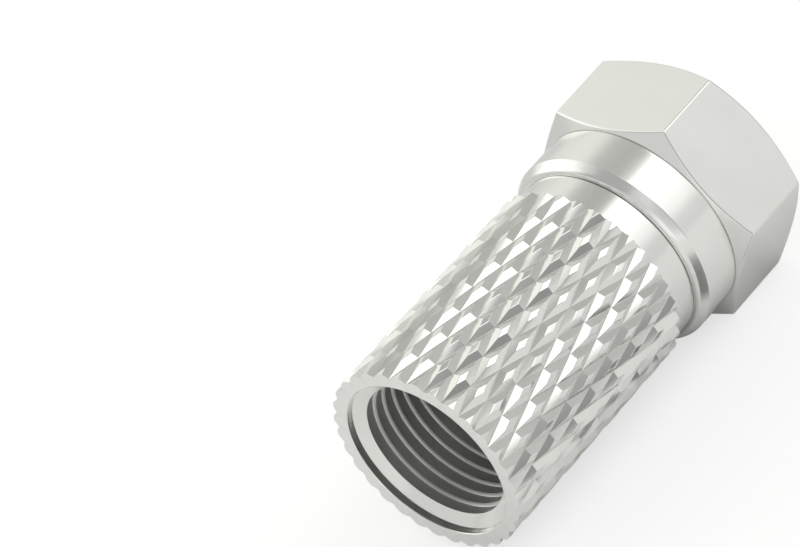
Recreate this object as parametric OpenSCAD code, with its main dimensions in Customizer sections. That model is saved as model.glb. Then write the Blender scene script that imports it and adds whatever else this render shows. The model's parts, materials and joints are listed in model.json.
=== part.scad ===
// Twist-on F connector for coaxial cable, in millimetres.
// It lies on a flat of its hexagon nut. The connector's axis runs along X, from the cable mouth to
// the nut's open end, and the origin is on that axis in the plane of the contact face, the flat end
// of the inner tube that meets the socket. Inside the modules z is the distance from the cable mouth.

/* [Knurled barrel] */
// Diameter over the crests of the knurl
barrel_d = 10.2; // [9.8:0.1:12]
// Depth of the knurl's grooves
knurl_depth = 0.2; // [0.1:0.01:0.3]
// Number of diamonds around the barrel
knurl_count = 32; // [20:2:40]
// Length of one diamond along the barrel
diamond_l = 3.22; // [2.4:0.02:3.6]
// Number of diamonds along the barrel
knurl_rows = 4; // [3:1:5]
// Flat left on top of each diamond, as a share of its width
land_share = 0.3; // [0.1:0.05:0.5]
// Turn of the knurl about the axis, in degrees
knurl_turn = 5; // [0:0.5:11]
// Length of the shallow cone that runs from the knurl's front end to the neck
shoulder_l = 0.1; // [0.05:0.05:0.2]
// Diameter of the plain neck in front of the knurl
neck_d = 9.66; // [9.2:0.02:9.76]
// Length of the plain neck
neck_l = 1.46; // [0.8:0.02:3]

/* [Cable socket] */
// Diameter of the recess at the mouth
mouth_d = 8.64; // [8.2:0.02:9]
// Depth of the recess at the mouth
mouth_depth = 0.39; // [0.2:0.01:0.8]
// Length of the cone from the recess to the socket
lead_in_l = 0.31; // [0.1:0.01:0.6]
// Diameter of the socket that grips the cable jacket
socket_d = 7.46; // [7:0.02:8]
// Depth of the socket from the cable mouth to the start of its drilled end
socket_depth = 11.6; // [9:0.1:12]
// Angle of the drilled end of the socket
drill_angle = 118; // [90:2:130]

/* [Front tube] */
// Diameter of the bore for the cable's inner insulation
bore_d = 4.9; // [4.6:0.05:5.2]
// Outer diameter of the tube that carries the nut
spigot_d = 7; // [6.6:0.05:7.2]
// Diameter of the flared lip that keeps the nut on
lip_d = 8.3; // [7.9:0.05:8.5]
// Thickness of the lip
lip_t = 0.95; // [0.7:0.05:1.2]
// Radius of the lip's rounded edge
lip_round = 0.25; // [0.1:0.05:0.35]

/* [Nut] */
// Size of the hexagon across its flats
hex_af = 11; // [10.8:0.1:12.5]
// Length of the hexagon
hex_l = 4.94; // [4:0.02:6.5]
// Angle of the chamfers on the hexagon's corners
hex_chamfer = 30; // [20:1:40]
// Diameter where the corner chamfers start
hex_face_d = 10.76; // [10.7:0.02:10.8]
// Diameter of the round skirt behind the hexagon
skirt_d = 10.7; // [10.5:0.02:10.7]
// Length of the skirt, without the bead
skirt_l = 2.13; // [1.6:0.01:3]
// Length of the rounded bead at the back of the nut
bead_l = 0.54; // [0.3:0.02:0.8]
// Diameter at the foot of the bead, beside the neck
bead_foot_d = 9.66; // [9.2:0.02:9.8]
// How far the bead bulges out of its chord
bead_bulge = 0.09; // [0.02:0.01:0.1]
// Thickness of the nut's back wall
back_wall = 1.5; // [1.2:0.05:1.8]
// Minor diameter of the nut's thread
thread_d = 8.76; // [8.7:0.02:8.86]
// Length of the thread, with its front chamfer
thread_l = 4.6; // [3.6:0.1:5]
// Diameter of the relief behind the thread
relief_d = 9.6; // [9.3:0.05:9.8]
// Diameter of the chamfer at the nut's open end
entry_d = 9.8; // [9.5:0.05:10]

/* [Clearances] */
// Radial clearance between the tube and the nut's back wall
spin_gap = 0.07; // [0.03:0.01:0.1]
// Axial clearance between the neck and the back of the nut
rear_gap = 0.08; // [0.04:0.01:0.2]
// Axial clearance between the nut's back wall and the lip
front_gap = 0.06; // [0.03:0.01:0.2]

/* [Hidden] */
smooth = 96;      // facets round a turned surface in the preview
arc_steps = 6;    // straight steps in the preview of a rounded edge
bite = 0.5;       // how far a cutting tool runs past the face that it cuts

// Stations along the axis, from the cable mouth
knurl_end = knurl_rows * diamond_l;
neck_end = knurl_end + neck_l;
nut_back = neck_end + rear_gap;
wall_front = nut_back + back_wall;
lip_back = wall_front + front_gap;
contact_face = lip_back + lip_t;
skirt_start = nut_back + bead_l;
hex_start = skirt_start + skirt_l;
nut_front = hex_start + hex_l;
thread_start = nut_front - thread_l;
drill_end = socket_depth + (socket_d - bore_d) / 2 / tan(drill_angle / 2);

// Turns a shape made along Z so that it lies along X, with the contact face in the YZ plane
module along_axis() {
    translate([-contact_face, 0, 0]) rotate([90, 0, 90]) children();
}

// Solid of revolution from an outline of [radius, station] points
module turned(outline) {
    rotate_extrude($fn = smooth) polygon(outline);
}

// Point of the knurl at a radius, an angle and a station
function on_barrel(radius, angle, z) = [radius * cos(angle), radius * sin(angle), z];

// Knurled bar: two families of V grooves cross on a cylinder and leave rows of diamonds, offset by
// half a diamond from row to row. Each diamond has a small flat land and four flanks. The knurl
// starts and ends in the middle of a row, with a flat face at the mouth and a cone at the neck.
module knurled_bar() {
    crest_r = barrel_d / 2;
    valley_r = crest_r - knurl_depth;
    step = 360 / knurl_count;
    half_l = diamond_l / 2;
    last_row = 2 * knurl_rows;
    land_a = land_share * step / 2;
    land_l = land_share * half_l;
    function middle(row, i) = knurl_turn + step * (i + (row % 2) / 2);
    // Five points for each diamond: the valley crossing to its left, then the land's left, right,
    // lower and upper corners. In the end rows the corner past the end lies on the end face.
    points = [for (row = [0 : last_row], i = [0 : knurl_count - 1])
        let (a = middle(row, i), z = row * half_l)
        each [
            on_barrel(valley_r, a - step / 2, z),
            on_barrel(crest_r, a - land_a, z),
            on_barrel(crest_r, a + land_a, z),
            on_barrel(crest_r, a, row == 0 ? z : z - land_l),
            on_barrel(crest_r, a, row == last_row ? z : z + land_l)
        ]];
    function corner(row, i, k) = 5 * (row * knurl_count + (i + knurl_count) % knurl_count) + k;
    // The valley crossing straight below or above the middle of diamond i
    function crossing(row, i, other) = corner(other, i + row % 2, 0);
    faces = [for (row = [0 : last_row], i = [0 : knurl_count - 1])
        let (
            valley_left = corner(row, i, 0), valley_right = corner(row, i + 1, 0),
            left = corner(row, i, 1), right = corner(row, i, 2),
            lower = corner(row, i, 3), upper = corner(row, i, 4),
            has_lower = row > 0, has_upper = row < last_row
        )
        each [
            [lower, left, upper],
            [lower, upper, right],
            if (has_lower) let (below = crossing(row, i, row - 1)) each [
                [valley_left, left, lower], [valley_left, lower, below],
                [below, lower, right], [below, right, valley_right]
            ],
            if (has_upper) let (above = crossing(row, i, row + 1)) each [
                [above, upper, left], [above, left, valley_left],
                [valley_right, right, upper], [valley_right, upper, above]
            ]
        ]];
    function rim(row) = [for (i = [0 : knurl_count - 1]) each [
        corner(row, i, 0), corner(row, i, 1), corner(row, i, row == 0 ? 3 : 4), corner(row, i, 2)]];
    // The shoulder's inner ring stands below the neck's surface, one point for each point of the rim
    front_rim = rim(last_row);
    rim_size = len(front_rim);
    inner_ring = [for (corner = front_rim) let (p = points[corner], root = neck_d / 2 - bite)
        [p[0] * root / norm([p[0], p[1]]), p[1] * root / norm([p[0], p[1]]), knurl_end + shoulder_l]];
    first = len(points);
    shoulder = [for (i = [0 : rim_size - 1]) let (next = (i + 1) % rim_size) each [
        [front_rim[next], front_rim[i], first + i], [front_rim[next], first + i, first + next]]];
    front_cap = [for (i = [rim_size - 1 : -1 : 0]) first + i];
    polyhedron(concat(points, inner_ring), concat(faces, shoulder, [rim(0), front_cap]), convexity = 4);
}

// Outline of the turned core: the neck, the spigot and the flared lip
function core_outline() = concat(
    [[0, bite], [neck_d / 2, bite], [neck_d / 2, neck_end], [spigot_d / 2, neck_end],
     [spigot_d / 2, lip_back], [lip_d / 2 - lip_round / 2, lip_back], [lip_d / 2, lip_back + lip_round / 2]],
    [for (k = [0 : arc_steps]) let (a = 90 * k / arc_steps)
        [lip_d / 2 - lip_round * (1 - cos(a)), contact_face - lip_round * (1 - sin(a))]],
    [[0, contact_face]]);

// Outline of everything bored out of the sleeve, from the mouth's recess to the front
function sleeve_bore() = [
    [0, -bite], [mouth_d / 2, -bite], [mouth_d / 2, mouth_depth],
    [socket_d / 2, mouth_depth + lead_in_l], [socket_d / 2, socket_depth],
    [bore_d / 2, drill_end], [bore_d / 2, contact_face + bite], [0, contact_face + bite]];

// The sleeve: knurled barrel, neck, spigot and lip, turned from one bar and bored through
module sleeve() {
    color([0.80, 0.80, 0.78]) along_axis() difference() {
        union() {
            knurled_bar();
            turned(core_outline());
        }
        turned(sleeve_bore());
    }
}

// Points of the bead, an arc through its foot and the skirt's edge that bulges out of its chord
function bead_arc() =
    let (
        foot = [bead_foot_d / 2, nut_back], top = [skirt_d / 2, skirt_start],
        chord = top - foot, half = norm(chord) / 2, outward = [chord[1], -chord[0]] / (2 * half),
        radius = (half * half + bead_bulge * bead_bulge) / (2 * bead_bulge),
        centre = (foot + top) / 2 - outward * (radius - bead_bulge),
        sweep = asin(half / radius), mid = atan2(outward[1], outward[0])
    )
    [for (k = [0 : arc_steps]) let (a = mid - sweep + 2 * sweep * k / arc_steps)
        centre + radius * [cos(a), sin(a)]];

// The nut's back: the bead, the round skirt and a root that runs into the hexagon
module nut_back_end() {
    turned(concat([[0, nut_back]], bead_arc(),
        [[skirt_d / 2, hex_start + bite], [0, hex_start + bite]]));
}

// The hexagon, its corners chamfered at both ends by a cone
module hexagon() {
    corner_d = hex_af / cos(30);
    rise = (corner_d - hex_face_d) / 2 * tan(hex_chamfer);
    intersection() {
        translate([0, 0, hex_start]) cylinder(h = hex_l, d = corner_d, $fn = 6);
        turned([[0, hex_start], [hex_face_d / 2, hex_start], [corner_d / 2, hex_start + rise],
            [corner_d / 2, nut_front - rise], [hex_face_d / 2, nut_front], [0, nut_front]]);
    }
}

// Outline of the nut's bore: the hole in its back wall, the relief, the thread and its chamfer
function nut_bore() =
    let (hole_r = spigot_d / 2 + spin_gap, slope = (relief_d - thread_d) / 2)
    [[0, nut_back - bite], [hole_r, nut_back - bite], [hole_r, wall_front],
     [relief_d / 2, wall_front], [relief_d / 2, thread_start - slope], [thread_d / 2, thread_start],
     [thread_d / 2, nut_front - (entry_d - thread_d) / 2], [entry_d / 2, nut_front],
     [entry_d / 2, nut_front + bite], [0, nut_front + bite]];

// The coupling nut, which turns on the spigot between the neck and the lip
module nut() {
    color([0.82, 0.82, 0.80]) along_axis() difference() {
        union() {
            nut_back_end();
            hexagon();
        }
        turned(nut_bore());
    }
}

sleeve();
nut();
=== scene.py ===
import json
import math

import bmesh
import bpy
from mathutils import Matrix, Vector


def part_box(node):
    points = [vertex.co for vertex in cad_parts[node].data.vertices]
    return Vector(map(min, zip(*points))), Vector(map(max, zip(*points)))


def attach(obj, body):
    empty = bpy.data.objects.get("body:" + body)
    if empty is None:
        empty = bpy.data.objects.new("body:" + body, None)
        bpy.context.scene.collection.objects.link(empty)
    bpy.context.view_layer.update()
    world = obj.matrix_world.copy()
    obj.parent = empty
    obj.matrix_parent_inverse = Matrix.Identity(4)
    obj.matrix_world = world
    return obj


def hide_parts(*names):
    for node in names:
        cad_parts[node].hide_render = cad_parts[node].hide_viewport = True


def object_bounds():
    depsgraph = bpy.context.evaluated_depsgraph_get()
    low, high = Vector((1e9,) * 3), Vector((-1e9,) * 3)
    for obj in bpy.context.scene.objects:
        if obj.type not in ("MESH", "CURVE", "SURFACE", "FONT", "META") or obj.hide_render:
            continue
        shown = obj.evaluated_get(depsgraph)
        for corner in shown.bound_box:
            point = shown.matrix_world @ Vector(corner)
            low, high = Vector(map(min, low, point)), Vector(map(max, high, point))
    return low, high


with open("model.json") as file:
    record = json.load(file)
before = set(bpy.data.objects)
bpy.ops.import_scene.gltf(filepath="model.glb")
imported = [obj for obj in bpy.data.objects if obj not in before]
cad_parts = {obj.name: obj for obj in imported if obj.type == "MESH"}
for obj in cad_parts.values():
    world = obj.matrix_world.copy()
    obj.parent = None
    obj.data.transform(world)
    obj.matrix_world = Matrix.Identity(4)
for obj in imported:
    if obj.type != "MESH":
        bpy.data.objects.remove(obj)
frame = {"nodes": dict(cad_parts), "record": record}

# A twist-on F connector for coaxial cable: a knurled sleeve and the hexagon nut that turns on it.
# The shapes are worked out in millimetres along z, the distance from the cable mouth, and are
# then laid along +X in metres, with the contact face in the plane x = 0, as the frame has them.

MM = 1000.0
TURN = 2.0 * math.pi

CAD_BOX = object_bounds()
SLEEVE_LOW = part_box("sleeve")[0]
NUT_LOW, NUT_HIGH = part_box("nut")
MOUNTS = {mount["name"]: mount for mount in frame["record"]["mounts"]}

# ---------------------------------------------------------------- sizes in millimetres

# Stations along the axis, from the cable mouth
CONTACT_FACE = -SLEEVE_LOW.x * MM
NUT_BACK = CONTACT_FACE + NUT_LOW.x * MM
NUT_FRONT = CONTACT_FACE + NUT_HIGH.x * MM
NECK_END = NUT_BACK - 0.018

# Knurled barrel
BARREL_R = 5.10
KNURL_DEPTH = 0.20
KNURL_COUNT = 32
KNURL_ROWS = 4
KNURL_END = 12.88
KNURL_TURN = math.radians(5.0)
LAND_SHARE = 0.30
KNURL_EASE = 0.035
FLANK_STEP = 0.65
SHOULDER_L = 0.10
NECK_R = 4.83

# Cable socket with the ring-shaped grooves that grip the cable's jacket
MOUTH_R = 4.32
MOUTH_DEPTH = 0.39
MOUTH_EASE = 0.08
LEAD_IN_L = 0.31
SOCKET_R = MOUNTS["cable_socket"]["dims"]["r_mm"]
SOCKET_END = 11.60
DRILL_HALF_ANGLE = math.radians(59.0)
JACKET_PITCH = 0.69
JACKET_DEPTH = 0.17
JACKET_FIRST_CREST = 1.44
JACKET_FADE = 0.5
SOCKET_CORNER = 0.1

# Front tube
BORE_R = MOUNTS["insulation_bore"]["dims"]["r_mm"]
SPIGOT_R = 3.50
LIP_R = 4.15
LIP_T = 0.95
LIP_EASE = 0.25

# Nut
HEX_HALF = NUT_HIGH.z * MM
HEX_L = 4.94
HEX_FACE_R = 5.38
HEX_CHAMFER = math.radians(30.0)
HEX_EASE = 0.10
SKIRT_R = 5.35
SEAM = 0.06
BEAD_L = 0.54
BEAD_FOOT_R = 4.83
BEAD_ROUND_R = 5.17
BEAD_ROUND_L = 0.22
BACK_WALL = 1.50
HOLE_R = 3.57
RELIEF_R = 4.80
ENTRY_R = 4.90
THREAD_R = MOUNTS["nut_thread"]["dims"]["r_mm"]
THREAD_L = 4.60
NUT_PITCH = 25.4 / 32
NUT_THREAD_DEPTH = 0.38

# Edges and mesh. EDGE_EASE is a corner's usual reach, and a point is held HOLD reaches away from an
# eased corner. Faces meet in a sharp edge past KNURL_SHARP on the knurl, and EDGE_SHARP elsewhere.
EDGE_EASE = 0.04
HOLD = 1.8
WELD = 1e-4
SLEEVE_COLUMNS = 160
HEX_COLUMNS = 24
KNURL_SHARP = math.radians(7.0)
EDGE_SHARP = math.radians(32.0)


# ---------------------------------------------------------------- outlines

def eased(outline, default=EDGE_EASE, steps=3):
    """An open outline of (radius, z) points with its corners rounded by small curves.

    A point may carry a third value, the reach of its own curve; 0 keeps that corner sharp. A further
    point on each side of a curve keeps the shading of the straight stretch beside it straight.
    """
    points = [Vector(point[:2]) for point in outline]
    reaches = [point[2] if len(point) > 2 else default for point in outline]
    reaches[0] = reaches[-1] = 0.0
    result = []
    for i, (corner, reach) in enumerate(zip(points, reaches)):
        if reach == 0.0:
            result.append(tuple(corner))
            continue
        back, ahead = points[i - 1] - corner, points[i + 1] - corner
        held_back = max(min(HOLD * reach, back.length / 2), reach)
        held_ahead = max(min(HOLD * reach, ahead.length / 2), reach)
        result.append(tuple(corner + back.normalized() * held_back))
        result += curve(corner + back.normalized() * reach, corner,
                        corner + ahead.normalized() * reach, steps)
        result.append(tuple(corner + ahead.normalized() * held_ahead))
    return result


def curve(start, control, end, steps=8):
    """Points of a curve that leaves start towards control and reaches end from it."""
    start, control, end = Vector(start), Vector(control), Vector(end)
    shares = [k / steps for k in range(steps + 1)]
    return [tuple(start * (1 - t) ** 2 + control * 2 * t * (1 - t) + end * t ** 2) for t in shares]


class Grooves:
    """Grooves cut outwards from a bore's minor radius: rings, or a right-handed thread with a lead.

    Shares of the pitch tell how wide the crest and the root are. The flanks between them are
    straight when hollow is 1, and more and more scooped out at their foot when it is larger.
    Near is the share of the pitch from a groove's middle to the crest after it.
    """

    def __init__(self, minor, pitch, lead, depth, crest_at, crest_share, root_share, hollow, near=0.5):
        self.minor = minor
        self.pitch = pitch
        self.lead = lead
        self.depth = depth
        self.crest_at = crest_at
        self.crest = crest_share
        self.root = root_share
        self.hollow = hollow
        self.near = near

    def depth_at(self, z, angle):
        """How deep the groove is at a station and an angle about the axis."""
        past = (z - self.crest_at - self.lead * angle / TURN) / self.pitch % 1.0
        away = min(past / (1 - self.near), (1 - past) / self.near)
        ramp = min(max((away - self.crest) / (1 - self.crest - self.root), 0.0), 1.0)
        return self.depth * (1 - (1 - ramp) ** self.hollow)

    def stations(self, start, end, angle):
        """Stations from start to end that follow the grooves; those beyond an end stay at it."""
        flank = [self.crest + (1 - self.root - self.crest) * (k / 6) ** 1.4 for k in range(7)]
        phases = [-self.near * away for away in reversed(flank)] + [0.0]
        phases += [(1 - self.near) * away for away in flank]
        first = math.floor((start - self.crest_at) / self.pitch) - 2
        last = math.ceil((end - self.crest_at) / self.pitch) + 1
        for turn in range(first, last + 1):
            for phase in phases:
                z = self.crest_at + self.pitch * (turn + phase) + self.lead * angle / TURN
                yield min(max(z, start), end)


def grooved_wall(grooves, start, end, angle, wall, runout, runin=0.0):
    """(radius, z) points of a grooved wall at one angle.

    The grooves start past runin's station and die out before runout's.
    """
    for z in grooves.stations(start, end, angle):
        left = min(max((runout - z) / grooves.pitch, 0.0), 1.0) if z > runin else 0.0
        yield max(wall(z), grooves.minor + grooves.depth_at(z, angle) * left), z


# ---------------------------------------------------------------- meshes

def point_at(radius, angle, z):
    """A point round the axis: angle 0 is +Y, and a quarter turn is +Z."""
    return Vector(((z - CONTACT_FACE), radius * math.cos(angle), radius * math.sin(angle)))


def angle_of(vert):
    return math.atan2(vert.co.z, vert.co.y) % TURN


def revolve(bm, angles, outline_at, closed):
    """Joins the outlines at each angle into a skin and returns its columns of vertices."""
    columns = []
    for angle in angles:
        outline = outline_at(angle)
        columns.append([bm.verts.new(point_at(r, angle, z)) for r, z in outline])
    for left, right in zip(columns, columns[1:]):
        count = len(left)
        for k in range(count if closed else count - 1):
            bm.faces.new((left[k], left[(k + 1) % count], right[(k + 1) % count], right[k]))
    return columns


def zip_rings(bm, ring_a, ring_b):
    """Fills the band between two rings of vertices, which may have different counts."""
    ring_a = sorted(ring_a, key=angle_of)
    ring_b = sorted(ring_b, key=angle_of)
    i = j = 0
    while i < len(ring_a) or j < len(ring_b):
        a, a_next = ring_a[i % len(ring_a)], ring_a[(i + 1) % len(ring_a)]
        b, b_next = ring_b[j % len(ring_b)], ring_b[(j + 1) % len(ring_b)]
        a_angle = angle_of(a_next) + (TURN if i + 1 >= len(ring_a) else 0.0)
        b_angle = angle_of(b_next) + (TURN if j + 1 >= len(ring_b) else 0.0)
        if j >= len(ring_b) or (i < len(ring_a) and a_angle <= b_angle):
            bm.faces.new((a, a_next, b))
            i += 1
        else:
            bm.faces.new((b_next, b, a))
            j += 1


def finish_mesh(bm, name, is_fine):
    """Turns a bmesh into an object in metres, smooth but for its real edges."""
    bmesh.ops.remove_doubles(bm, verts=bm.verts, dist=WELD)
    bmesh.ops.recalc_face_normals(bm, faces=bm.faces)
    for face in bm.faces:
        face.smooth = True
    for edge in bm.edges:
        fine = any(is_fine(face) for face in edge.link_faces)
        edge.smooth = edge.calc_face_angle(0.0) < (KNURL_SHARP if fine else EDGE_SHARP)
    mesh = bpy.data.meshes.new(name)
    bm.to_mesh(mesh)
    bm.free()
    mesh.transform(Matrix.Scale(1 / MM, 4))
    piece = bpy.data.objects.new(name, mesh)
    bpy.context.scene.collection.objects.link(piece)
    return piece


# ---------------------------------------------------------------- sleeve

def knurl_radius(away):
    """Radius over the knurl at a distance from a diamond's middle, from 0 to 1 at the groove."""
    slope = KNURL_DEPTH / (1 - LAND_SHARE)
    past = away - (LAND_SHARE - KNURL_EASE)
    if past <= 0.0:
        return BARREL_R
    if past < 2 * KNURL_EASE:
        return BARREL_R - slope * past ** 2 / (4 * KNURL_EASE)
    return BARREL_R - slope * (away - LAND_SHARE)


def add_diamond(bm, angle, z, low, high, steps):
    """One diamond of the knurl, in cells along its two groove directions u and v."""
    half_angle = math.pi / KNURL_COUNT
    half_l = KNURL_END / KNURL_ROWS / 2

    def vertex(u, v):
        radius = knurl_radius(max(abs(u), abs(v)))
        return bm.verts.new(point_at(radius, angle + (u - v) / 2 * half_angle, z + (u + v) / 2 * half_l))

    def patch(*corners):
        kept = [c for c in corners if low - 1e-9 <= c[0] + c[1] <= high + 1e-9]
        if len(kept) > 2:
            bm.faces.new([vertex(u, v) for u, v in kept])

    for u0, u1 in zip(steps, steps[1:]):
        for v0, v1 in zip(steps, steps[1:]):
            near, u_far, far, v_far = (u0, v0), (u1, v0), (u1, v1), (u0, v1)
            if abs(u0 - v0) < 1e-9:
                patch(near, u_far, far)
                patch(near, far, v_far)
            elif abs(u0 + v1) < 1e-9:
                patch(near, u_far, v_far)
                patch(u_far, far, v_far)
            else:
                patch(near, u_far, far, v_far)


def add_knurl(bm):
    """Crossed grooves leave rows of diamonds; the knurl starts and ends in the middle of a row."""
    half = [0.0, LAND_SHARE / 2, LAND_SHARE - KNURL_EASE, LAND_SHARE, LAND_SHARE + KNURL_EASE,
            FLANK_STEP, 1.0]
    steps = [-s for s in reversed(half[1:])] + half
    last_row = 2 * KNURL_ROWS
    for row in range(last_row + 1):
        for i in range(KNURL_COUNT):
            angle = KNURL_TURN + TURN / KNURL_COUNT * (i + row % 2 / 2)
            z = row * KNURL_END / last_row
            add_diamond(bm, angle, z, 0.0 if row == 0 else -2.0, 0.0 if row == last_row else 2.0, steps)


def jacket_wall(z):
    """The socket's plain wall with the lead-in cone at its mouth."""
    return SOCKET_R + (MOUTH_R - SOCKET_R) * max(1 - (z - MOUTH_DEPTH) / LEAD_IN_L, 0.0)


JACKET_GROOVES = Grooves(SOCKET_R, JACKET_PITCH, 0.0, JACKET_DEPTH, JACKET_FIRST_CREST,
                         crest_share=0.02, root_share=0.14, hollow=10.0, near=0.70)


def sleeve_outline(angle):
    """The turned part of the sleeve, from the mouth's edge through the bore and back along the outside."""
    drill_end = SOCKET_END + (SOCKET_R - BORE_R) / math.tan(DRILL_HALF_ANGLE)
    lip_back = CONTACT_FACE - LIP_T
    inside = eased([(MOUTH_R + MOUTH_EASE, 0.0), (MOUTH_R, 0.0, MOUTH_EASE), (MOUTH_R, MOUTH_DEPTH, 0.0),
                    (MOUTH_R, MOUTH_DEPTH)])[:-1]
    corner = SOCKET_END - SOCKET_CORNER
    grip = list(grooved_wall(JACKET_GROOVES, MOUTH_DEPTH, corner, angle, jacket_wall,
                             SOCKET_END - JACKET_FADE, JACKET_FIRST_CREST - JACKET_PITCH))
    outside = eased([
        (SOCKET_R, corner), (SOCKET_R, SOCKET_END), (BORE_R, drill_end), (BORE_R, CONTACT_FACE),
        (LIP_R, CONTACT_FACE, LIP_EASE), (LIP_R, lip_back, LIP_EASE / 2), (SPIGOT_R, lip_back, 0.03),
        (SPIGOT_R, NECK_END, 0.05), (NECK_R, NECK_END, 0.035), (NECK_R, KNURL_END + SHOULDER_L)], steps=4)
    return inside + grip + outside


def make_sleeve():
    bm = bmesh.new()
    add_knurl(bm)
    bmesh.ops.remove_doubles(bm, verts=bm.verts, dist=WELD)
    rims = [v for v in bm.verts if v.is_boundary]
    mouth_rim = [v for v in rims if v.co.x + CONTACT_FACE < KNURL_END / 2]
    front_rim = [v for v in rims if v.co.x + CONTACT_FACE > KNURL_END / 2]
    angles = [TURN * k / SLEEVE_COLUMNS for k in range(SLEEVE_COLUMNS + 1)]
    columns = revolve(bm, angles, sleeve_outline, closed=False)[:-1]
    zip_rings(bm, mouth_rim, [column[0] for column in columns])
    zip_rings(bm, front_rim, [column[-1] for column in columns])

    def is_knurl(face):
        centre = face.calc_center_median()
        return centre.yz.length > NECK_R + 0.04

    return finish_mesh(bm, "knurled_sleeve", is_knurl)


# ---------------------------------------------------------------- nut

def hex_radius(angle):
    """Distance from the axis to the hexagon's outside at an angle, its corners rounded."""
    from_corner = (angle + TURN / 12) % (TURN / 6) - TURN / 12
    flat = HEX_HALF / math.cos(TURN / 12 - abs(from_corner))
    centre = (HEX_HALF - HEX_EASE) / math.cos(TURN / 12)
    across = centre * math.sin(from_corner)
    if abs(across) >= HEX_EASE / 2:
        return flat
    return centre * math.cos(from_corner) + math.sqrt(HEX_EASE ** 2 - across ** 2)


def nut_wall(z):
    """The nut's plain bore round its thread: the relief's slope and the chamfer at the open end."""
    slope_end = NUT_FRONT - THREAD_L
    relief = RELIEF_R - (z - (slope_end - (RELIEF_R - THREAD_R)))
    entry = ENTRY_R - (NUT_FRONT - z)
    return max(relief, entry, THREAD_R)


NUT_THREAD = Grooves(THREAD_R, NUT_PITCH, NUT_PITCH, NUT_THREAD_DEPTH, NUT_FRONT - 1.2,
                     crest_share=0.18, root_share=0.2, hollow=1.15)


def nut_outline(angle):
    """The nut's whole outline at an angle: its outside from back to front, then its bore."""
    side = hex_radius(angle)
    rise = (side - HEX_FACE_R) * math.tan(HEX_CHAMFER)
    hex_start = NUT_FRONT - HEX_L
    relief_end = NUT_FRONT - THREAD_L - (RELIEF_R - THREAD_R)
    wall_front = NUT_BACK + BACK_WALL
    slope = (SKIRT_R - BEAD_ROUND_R) / (BEAD_L - BEAD_ROUND_L)
    bead = curve((BEAD_FOOT_R, NUT_BACK), (BEAD_ROUND_R - slope * BEAD_ROUND_L, NUT_BACK),
                 (BEAD_ROUND_R, NUT_BACK + BEAD_ROUND_L)) + [(SKIRT_R, NUT_BACK + BEAD_L)]
    back = eased([(HOLE_R + EDGE_EASE, NUT_BACK), (BEAD_FOOT_R, NUT_BACK, 0.028), bead[1]])[:-1]
    outside = eased([
        bead[-2], (*bead[-1], 0.015), (SKIRT_R, hex_start - SEAM, 0.01),
        (SKIRT_R - SEAM, hex_start - SEAM / 2, 0.0), (SKIRT_R - SEAM, hex_start, 0.0),
        (HEX_FACE_R, hex_start, 0.012),
        (side, hex_start + rise, 0.05), (side, NUT_FRONT - rise, 0.05), (HEX_FACE_R, NUT_FRONT, 0.05),
        (ENTRY_R, NUT_FRONT)])[1:]
    thread = list(grooved_wall(NUT_THREAD, relief_end, NUT_FRONT, angle, nut_wall, 2 * NUT_FRONT))
    inside = eased([
        (RELIEF_R, relief_end), (RELIEF_R, wall_front, 0.05), (HOLE_R, wall_front, 0.03),
        (HOLE_R, NUT_BACK), (HOLE_R + EDGE_EASE, NUT_BACK)])[1:-1]
    return back + bead[1:-1] + outside[:-1] + thread[::-1] + inside


def make_nut():
    bm = bmesh.new()
    round_half = math.asin(HEX_EASE / 2 / ((HEX_HALF - HEX_EASE) / math.cos(TURN / 12)))
    flat = TURN / 6 - 2 * round_half
    half_sector = [round_half * k / 3 for k in range(4)] + [HOLD * round_half]
    half_sector += [round_half + flat * k / HEX_COLUMNS for k in range(1, HEX_COLUMNS // 2 + 1)]
    sector = half_sector + [TURN / 6 - angle for angle in half_sector[-2:0:-1]]
    angles = [TURN / 6 * side + step for side in range(6) for step in sector] + [TURN]
    revolve(bm, angles, nut_outline, closed=True)
    return finish_mesh(bm, "coupling_nut", lambda face: False)


# ---------------------------------------------------------------- materials

# The cut wall of the cable socket is duller than the outside, and painted shade makes it greyer. In metres:
# the radius within which that holds, and where it starts and ends along x.
SOCKET_SKIN_R = (MOUTH_R - 0.02) / MM
SOCKET_SKIN_START = -0.01625
SOCKET_SKIN_END = -0.0055
SOCKET_SKIN_ROUGH = 0.24
SOCKET_SHADE_COLOUR = (0.64, 0.64, 0.63, 1.0)


class Shading:
    """A material's node tree with a short way to add and join nodes."""

    def __init__(self, tree):
        self.tree = tree
        self.tree.nodes.clear()

    def add(self, kind, inputs=None, **settings):
        node = self.tree.nodes.new(kind)
        for name, value in settings.items():
            setattr(node, name, value)
        for socket, value in (inputs or {}).items():
            if isinstance(value, bpy.types.NodeSocket):
                self.tree.links.new(value, node.inputs[socket])
            else:
                node.inputs[socket].default_value = value
        return node

    def math(self, operation, *values):
        return self.add("ShaderNodeMath", dict(enumerate(values)), operation=operation).outputs[0]

    def between(self, value, low, high, start, end):
        """Goes smoothly from start to end as the value goes from low to high."""
        node = self.add("ShaderNodeMapRange", {0: value, 1: low, 2: high, 3: start, 4: end},
                        interpolation_type="SMOOTHSTEP")
        return node.outputs[0]

    def noise(self, vector, scale, detail=3.0, roughness=0.5):
        return self.add("ShaderNodeTexNoise", {"Vector": vector, "Scale": scale, "Detail": detail,
                                               "Roughness": roughness}).outputs[0]

    def colours(self, factor, first, second):
        node = self.add("ShaderNodeMix", {0: factor, 6: first, 7: second}, data_type="RGBA")
        return node.outputs[2]


def new_material(name):
    material = bpy.data.materials.new(name)
    material.use_nodes = True
    return material, Shading(material.node_tree)


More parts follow.
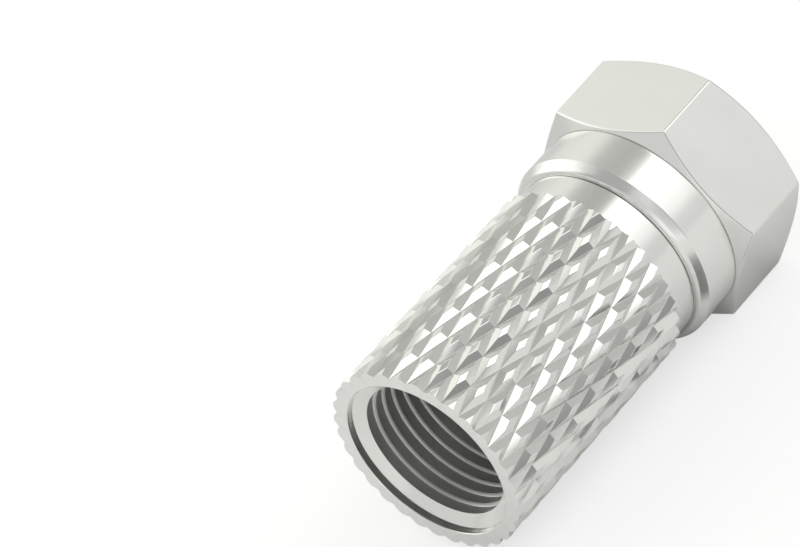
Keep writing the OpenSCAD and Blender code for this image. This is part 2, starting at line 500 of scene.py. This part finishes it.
def nickel(name, tone, shade, roughness):
    """Bright nickel plate over turned brass: faint tool marks round the axis and a slight haze."""
    material, nodes = new_material(name)
    place = nodes.add("ShaderNodeTexCoord").outputs["Object"]
    haze = nodes.noise(place, 420.0, 4.0)
    grain = nodes.noise(place, 6500.0, 2.0, 0.6)
    along = nodes.add("ShaderNodeSeparateXYZ", {0: place}).outputs
    across = nodes.math("SQRT", nodes.math("ADD", nodes.math("MULTIPLY", along[1], along[1]),
                                           nodes.math("MULTIPLY", along[2], along[2])))
    rings = nodes.add("ShaderNodeCombineXYZ", {0: along[0], 1: across}).outputs[0]
    marks = nodes.noise(rings, 9000.0, 2.0, 0.5)
    worn = nodes.between(nodes.add("ShaderNodeNewGeometry").outputs["Pointiness"], 0.52, 0.60, 0.0, 1.0)
    colour = nodes.colours(haze, (*tone, 1.0), (*shade, 1.0))
    bright = tuple(min(c * 1.06, 0.92) for c in tone)
    colour = nodes.colours(nodes.math("MULTIPLY", worn, 0.5), colour, (*bright, 1.0))
    gloss = nodes.math("ADD", nodes.between(haze, 0.3, 0.7, roughness - 0.03, roughness + 0.03),
                       nodes.between(grain, 0.3, 0.7, -0.01, 0.01))
    # Painted shade inside the cable socket: the wall there is coloured a darker grey, and it is also
    # rougher
    inside = nodes.math("MULTIPLY", nodes.between(across, SOCKET_SKIN_R - 0.00004, SOCKET_SKIN_R, 1.0, 0.0),
                        nodes.math("MULTIPLY", nodes.between(along[0], SOCKET_SKIN_END, -0.005, 1.0, 0.0),
                                   nodes.between(along[0], SOCKET_SKIN_START, -0.0162, 0.0, 1.0)))
    gloss = nodes.math("ADD", gloss, nodes.math("MULTIPLY", inside, SOCKET_SKIN_ROUGH))
    colour = nodes.colours(inside, colour, SOCKET_SHADE_COLOUR)
    relief = nodes.math("ADD", nodes.math("MULTIPLY", marks, 0.7), nodes.math("MULTIPLY", grain, 0.3))
    bump = nodes.add("ShaderNodeBump", {"Strength": 0.12, "Distance": 0.000004, "Height": relief})
    shader = nodes.add("ShaderNodeBsdfPrincipled", {
        "Base Color": colour, "Metallic": 1.0, "Roughness": gloss, "Normal": bump.outputs[0]})
    nodes.add("ShaderNodeOutputMaterial", {0: shader.outputs[0]})
    return material


# A painted dark reflection: a dark strip of the floor beside the nut that shows in reflections only, and no
# dark thing stands there: where it starts, the way it runs, its half-width there, how fast it widens, its
# length and its strength
DARK_REFLECTION_START = (-0.0027, -0.0067, 0.0)
DARK_REFLECTION_AZIMUTH = -111.8
DARK_REFLECTION_HALF = 0.0008
DARK_REFLECTION_SPREAD = 0.07
DARK_REFLECTION_LENGTH = 0.028
DARK_REFLECTION_STRENGTH = 0.72


def floor_paint():
    """A white floor with the object's shadow, lighter to the camera than to the light it passes on.

    In reflections it carries painted shade: darker close beside the object, far behind it, and along a
    painted dark strip.
    """
    material, nodes = new_material("white_floor")
    rays = nodes.add("ShaderNodeLightPath").outputs
    mirrored = nodes.math("MAXIMUM", rays["Is Glossy Ray"], rays["Is Transmission Ray"])
    place = nodes.add("ShaderNodeTexCoord").outputs["Object"]
    tint = nodes.colours(nodes.noise(place, 60.0), (0.80, 0.80, 0.80, 1.0), (0.82, 0.82, 0.82, 1.0))
    seen = nodes.colours(rays["Is Camera Ray"], tint, (0.45, 0.45, 0.45, 1.0))
    shared = nodes.colours(mirrored, seen, (0.90, 0.90, 0.90, 1.0))
    spot = nodes.add("ShaderNodeSeparateXYZ", {0: place}).outputs
    # Painted shade for reflections only: darker close beside the object, but not past the mouth end, and a
    # little darker far behind it
    aside = nodes.between(nodes.math("ABSOLUTE", spot[1]), 0.001, 0.0075, 0.46, 0.0)
    along = nodes.between(spot[0], CAD_BOX[0][0], CAD_BOX[0][0] + 0.001, 0.0, 1.0)
    reflected_shade = nodes.math("SUBTRACT", 1.0, nodes.math("MULTIPLY", aside, along))
    reflected_shade = nodes.math("MULTIPLY", reflected_shade, nodes.between(spot[1], 0.006, 0.028, 1.0, 0.8))
    # Painted dark reflection: a dark strip on the floor that only mirrored rays see
    strip = nodes.add("ShaderNodeVectorMath", {0: place, 1: DARK_REFLECTION_START},
                     operation="SUBTRACT").outputs["Vector"]
    strip = nodes.add("ShaderNodeVectorRotate", {0: strip, 3: math.radians(-DARK_REFLECTION_AZIMUTH)},
                     rotation_type="Z_AXIS").outputs[0]
    strip = nodes.add("ShaderNodeSeparateXYZ", {0: strip}).outputs
    spread = nodes.math("MULTIPLY", DARK_REFLECTION_SPREAD, nodes.math("MAXIMUM", strip[0], 0.0))
    half = nodes.math("ADD", DARK_REFLECTION_HALF, spread)
    width = nodes.between(nodes.math("DIVIDE", nodes.math("ABSOLUTE", strip[1]), half), 0.7, 1.3, 1.0, 0.0)
    length = nodes.math("MULTIPLY", nodes.between(strip[0], -0.001, 0.001, 0.0, 1.0),
                        nodes.between(strip[0], 0.005, DARK_REFLECTION_LENGTH, 1.0, 0.0))
    dark = nodes.math("MULTIPLY", nodes.math("MULTIPLY", width, length), DARK_REFLECTION_STRENGTH)
    reflected_shade = nodes.math("MULTIPLY", reflected_shade, nodes.math("SUBTRACT", 1.0, dark))
    shaded = nodes.colours(nodes.math("MULTIPLY", mirrored, nodes.math("SUBTRACT", 1.0, reflected_shade)),
                           shared, (0.0, 0.0, 0.0, 1.0))
    diffuse = nodes.add("ShaderNodeBsdfDiffuse", {"Color": shaded}).outputs[0]
    own = nodes.math("ADD", nodes.math("MULTIPLY", rays["Is Camera Ray"], 0.64),
                     nodes.math("MULTIPLY", nodes.math("MULTIPLY", mirrored, reflected_shade), 0.12))
    white = nodes.add("ShaderNodeEmission", {"Color": (1, 1, 1, 1), "Strength": own})
    both = nodes.add("ShaderNodeAddShader", {0: diffuse, 1: white.outputs[0]}).outputs[0]
    nodes.add("ShaderNodeOutputMaterial", {0: both})
    return material


# ---------------------------------------------------------------- studio

def direction(azimuth, elevation):
    """Unit vector towards an azimuth, from +X towards +Y, and an elevation, in degrees."""
    a, e = math.radians(azimuth), math.radians(elevation)
    return Vector((math.cos(e) * math.cos(a), math.cos(e) * math.sin(a), math.sin(e)))


# Soft panels of the tent round the object: azimuth, elevation, half-width, soft rim, and the light
# that the panel adds, or takes away where it is below zero
PANELS = [
    (-53.9, 57.0, 17.3, 5.3, 0.79),
    (-78.7, 38.2, 22.3, 20.8, 0.45),
    (92.5, 37.6, 23.8, 20.9, 0.35),
    (110.1, 28.6, 10.1, 21.1, 0.53),
    (43.3, 7.0, 8.9, 5.1, 0.60),
    (17.6, 54.7, 7.2, 20.1, -0.22),
    (-13.5, 12.5, 9.6, 25.1, -0.36),
    (-88.0, 25.0, 15.9, 21.6, -0.84),
    (-123.6, -13.2, 28.7, 22.1, 0.35),
    (139.3, 60.8, 35.7, 5.4, -0.26),
    (-59.0, 28.4, 4.1, 11.8, 0.32),
    (46.4, 53.7, 5.3, 14.5, 0.06),
]


def tent(world):
    """The light of a white tent: a little warmer on one side, with soft panels."""
    world.use_nodes = True
    nodes = Shading(world.node_tree)
    towards = nodes.add("ShaderNodeTexCoord").outputs["Generated"]
    height = nodes.add("ShaderNodeSeparateXYZ", {0: towards}).outputs[2]
    light = nodes.between(height, 0.0, 0.33, 0.78, 0.75)
    for azimuth, elevation, half_width, rim, added in PANELS:
        aim = tuple(direction(azimuth, elevation))
        near = nodes.add("ShaderNodeVectorMath", {0: towards, 1: aim},
                         operation="DOT_PRODUCT").outputs["Value"]
        inner = math.cos(math.radians(half_width))
        outer = math.cos(math.radians(half_width + rim))
        light = nodes.math("ADD", light, nodes.between(near, outer, inner, 0.0, added))
    warm_side = nodes.add("ShaderNodeVectorMath", {0: towards, 1: tuple(direction(50.0, -5.0))},
                          operation="DOT_PRODUCT").outputs["Value"]
    colour = nodes.colours(nodes.between(warm_side, -1.0, 1.0, 0.0, 1.0), (0.985, 0.992, 1.0, 1.0),
                           (1.0, 1.0, 0.955, 1.0))
    background = nodes.add("ShaderNodeBackground", {"Color": colour, "Strength": light})
    nodes.add("ShaderNodeOutputWorld", {0: background.outputs[0]})


def add_floor(level):
    """A square of floor in metres at the level of the object's lowest point."""
    size = 4.0
    mesh = bpy.data.meshes.new("floor")
    corners = [(-size, -size, level), (size, -size, level), (size, size, level), (-size, size, level)]
    mesh.from_pydata(corners, [], [(0, 1, 2, 3)])
    floor = bpy.data.objects.new("floor", mesh)
    bpy.context.scene.collection.objects.link(floor)
    mesh.materials.append(floor_paint())


# The camera: azimuth 0 looks along +Y, and its roll tilts the picture
VIEW_AZIMUTH = -38.52
VIEW_ELEVATION = 34.62
VIEW_ROLL = -23.2
VIEW_AIM = Vector((-0.0142, -0.0002, 0.00885))
VIEW_DISTANCE = 0.262
VIEW_LENS = 267.1


def add_camera():
    data = bpy.data.cameras.new("camera")
    data.sensor_width = 36.0
    data.lens = VIEW_LENS
    data.clip_start = 0.01
    camera = bpy.data.objects.new("camera", data)
    bpy.context.scene.collection.objects.link(camera)
    turn = (Matrix.Rotation(math.radians(VIEW_AZIMUTH), 4, "Z")
            @ Matrix.Rotation(math.radians(90.0 - VIEW_ELEVATION), 4, "X")
            @ Matrix.Rotation(math.radians(VIEW_ROLL), 4, "Z"))
    camera.matrix_world = Matrix.Translation(VIEW_AIM) @ turn @ Matrix.Translation((0, 0, VIEW_DISTANCE))
    bpy.context.scene.camera = camera


# ---------------------------------------------------------------- scene

scene = bpy.context.scene
scene.view_settings.view_transform = "Standard"
scene.world = bpy.data.worlds.new("tent")
tent(scene.world)
add_floor(CAD_BOX[0][2])
add_camera()

sleeve = make_sleeve()
sleeve.data.materials.append(nickel("sleeve_nickel", (0.797, 0.802, 0.772), (0.768, 0.772, 0.744), 0.15))
nut = make_nut()
nut.data.materials.append(nickel("nut_nickel", (0.817, 0.822, 0.792), (0.788, 0.792, 0.764), 0.17))

for piece, node, slot in ((sleeve, "sleeve", "sleeve_plating"), (nut, "nut", "nut_plating")):
    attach(piece, node)
    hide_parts(node)
    frame["nodes"][node].data.materials.clear()
    frame["nodes"][node].data.materials.append(piece.data.materials[0])
